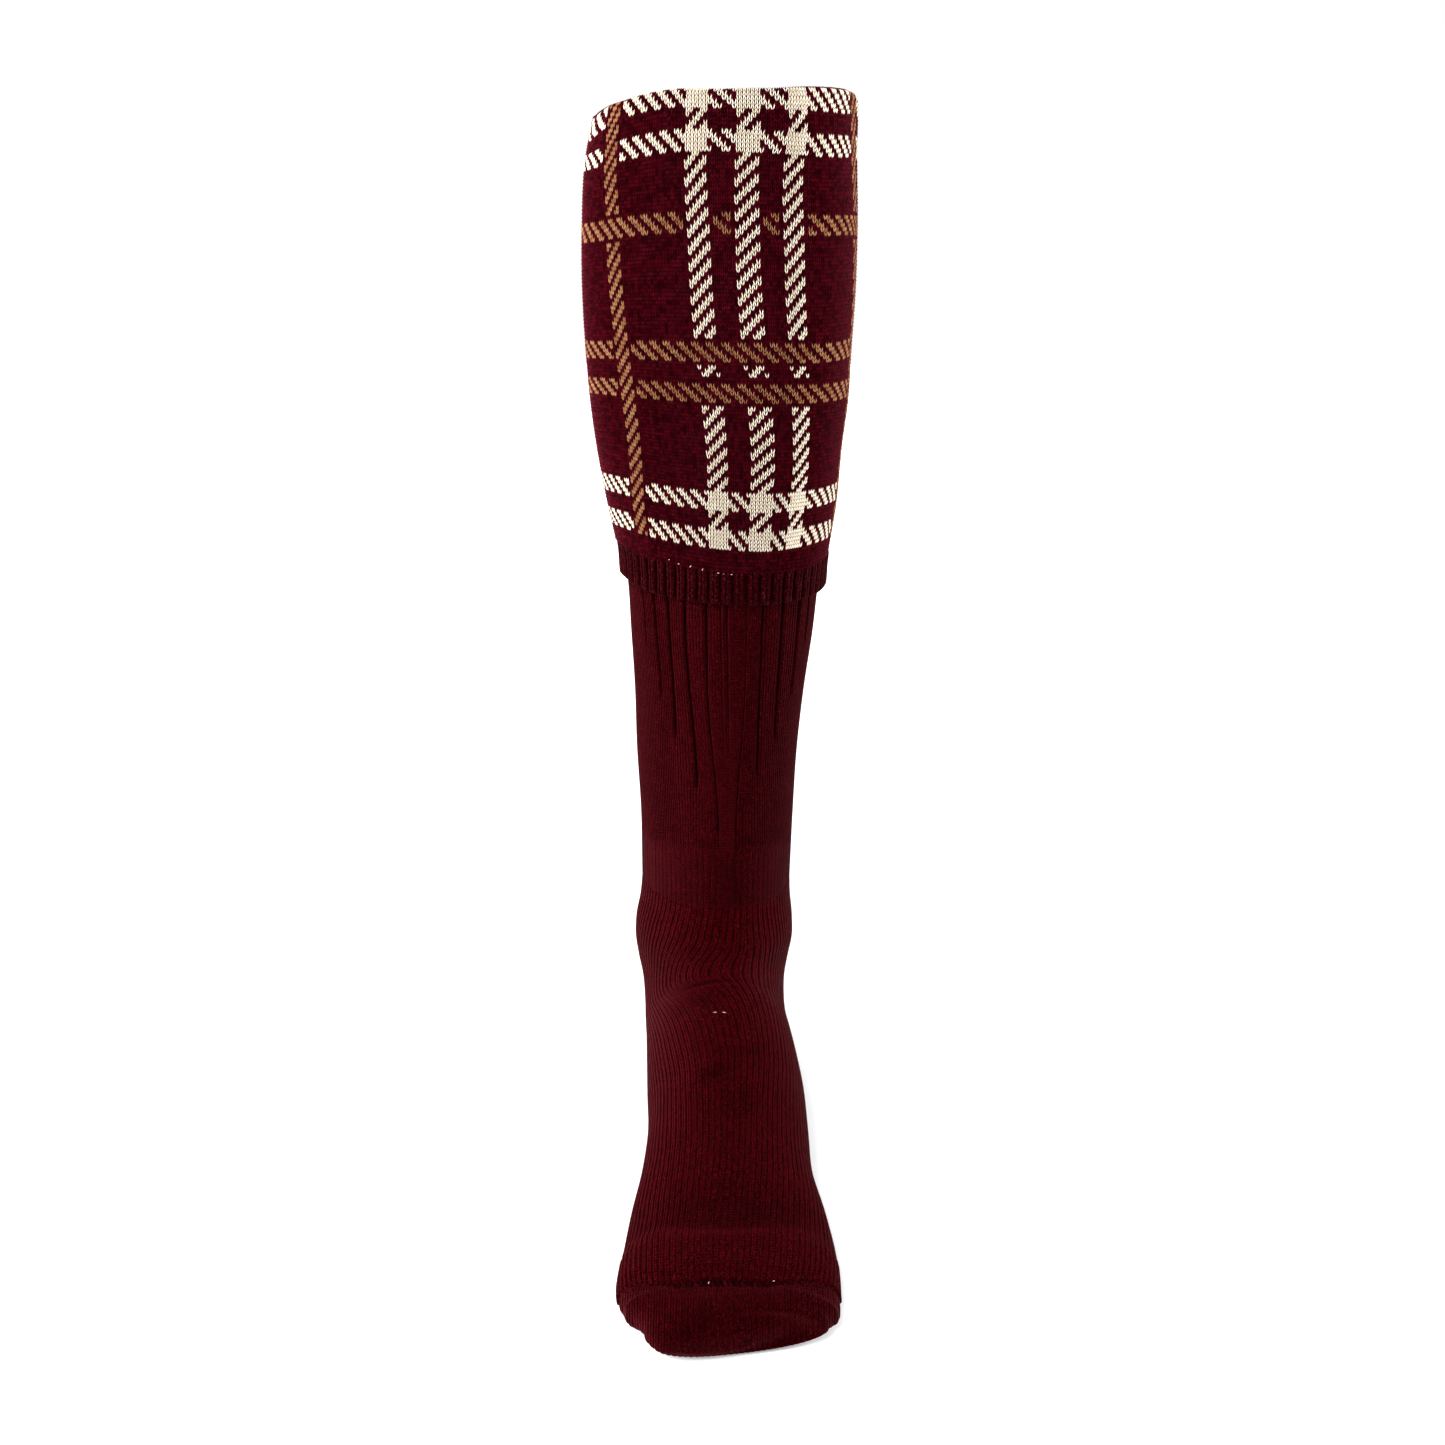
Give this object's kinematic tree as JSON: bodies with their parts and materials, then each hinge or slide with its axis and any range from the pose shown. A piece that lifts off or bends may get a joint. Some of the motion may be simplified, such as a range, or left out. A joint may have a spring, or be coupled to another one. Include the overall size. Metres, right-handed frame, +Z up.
{
  "type": "kilt hose sock",
  "caption": "Knee-high turn-over sock in its worn shape: patterned knitted cuff with ribbed hem, wide-rib leg, heel pocket, foot and closed toe.",
  "frame": {"origin": "centre of the leg opening, level with the top of the turned-over fold, 432 mm above the sole", "axes": "+Z up the leg, -Y towards the toe, -X towards the big toe side of a left foot"},
  "size_m": [0.1093, 0.2539, 0.432],
  "materials": {
    "cuff_knit": "burgundy wool knit with cream and tan check lines in broken 2x2 stitches",
    "hem_rib": "burgundy wool, two-and-two rib",
    "leg_knit": "burgundy wool, fine wales with deep rib grooves and a soft nap",
    "foot_knit": "burgundy wool, fine plain wales with a soft nap",
    "toe_link": "linked seam, raised loops of burgundy wool",
    "toe_knit": "burgundy wool, coarser plain wales"
  },
  "bodies": {
    "root": {"cuff": "cuff_knit", "cuff_hem": "hem_rib", "leg": "leg_knit", "heel": "foot_knit", "foot": "foot_knit", "toe_seam": "toe_link", "toe_cap": "toe_knit"}
  },
  "joints": []
}
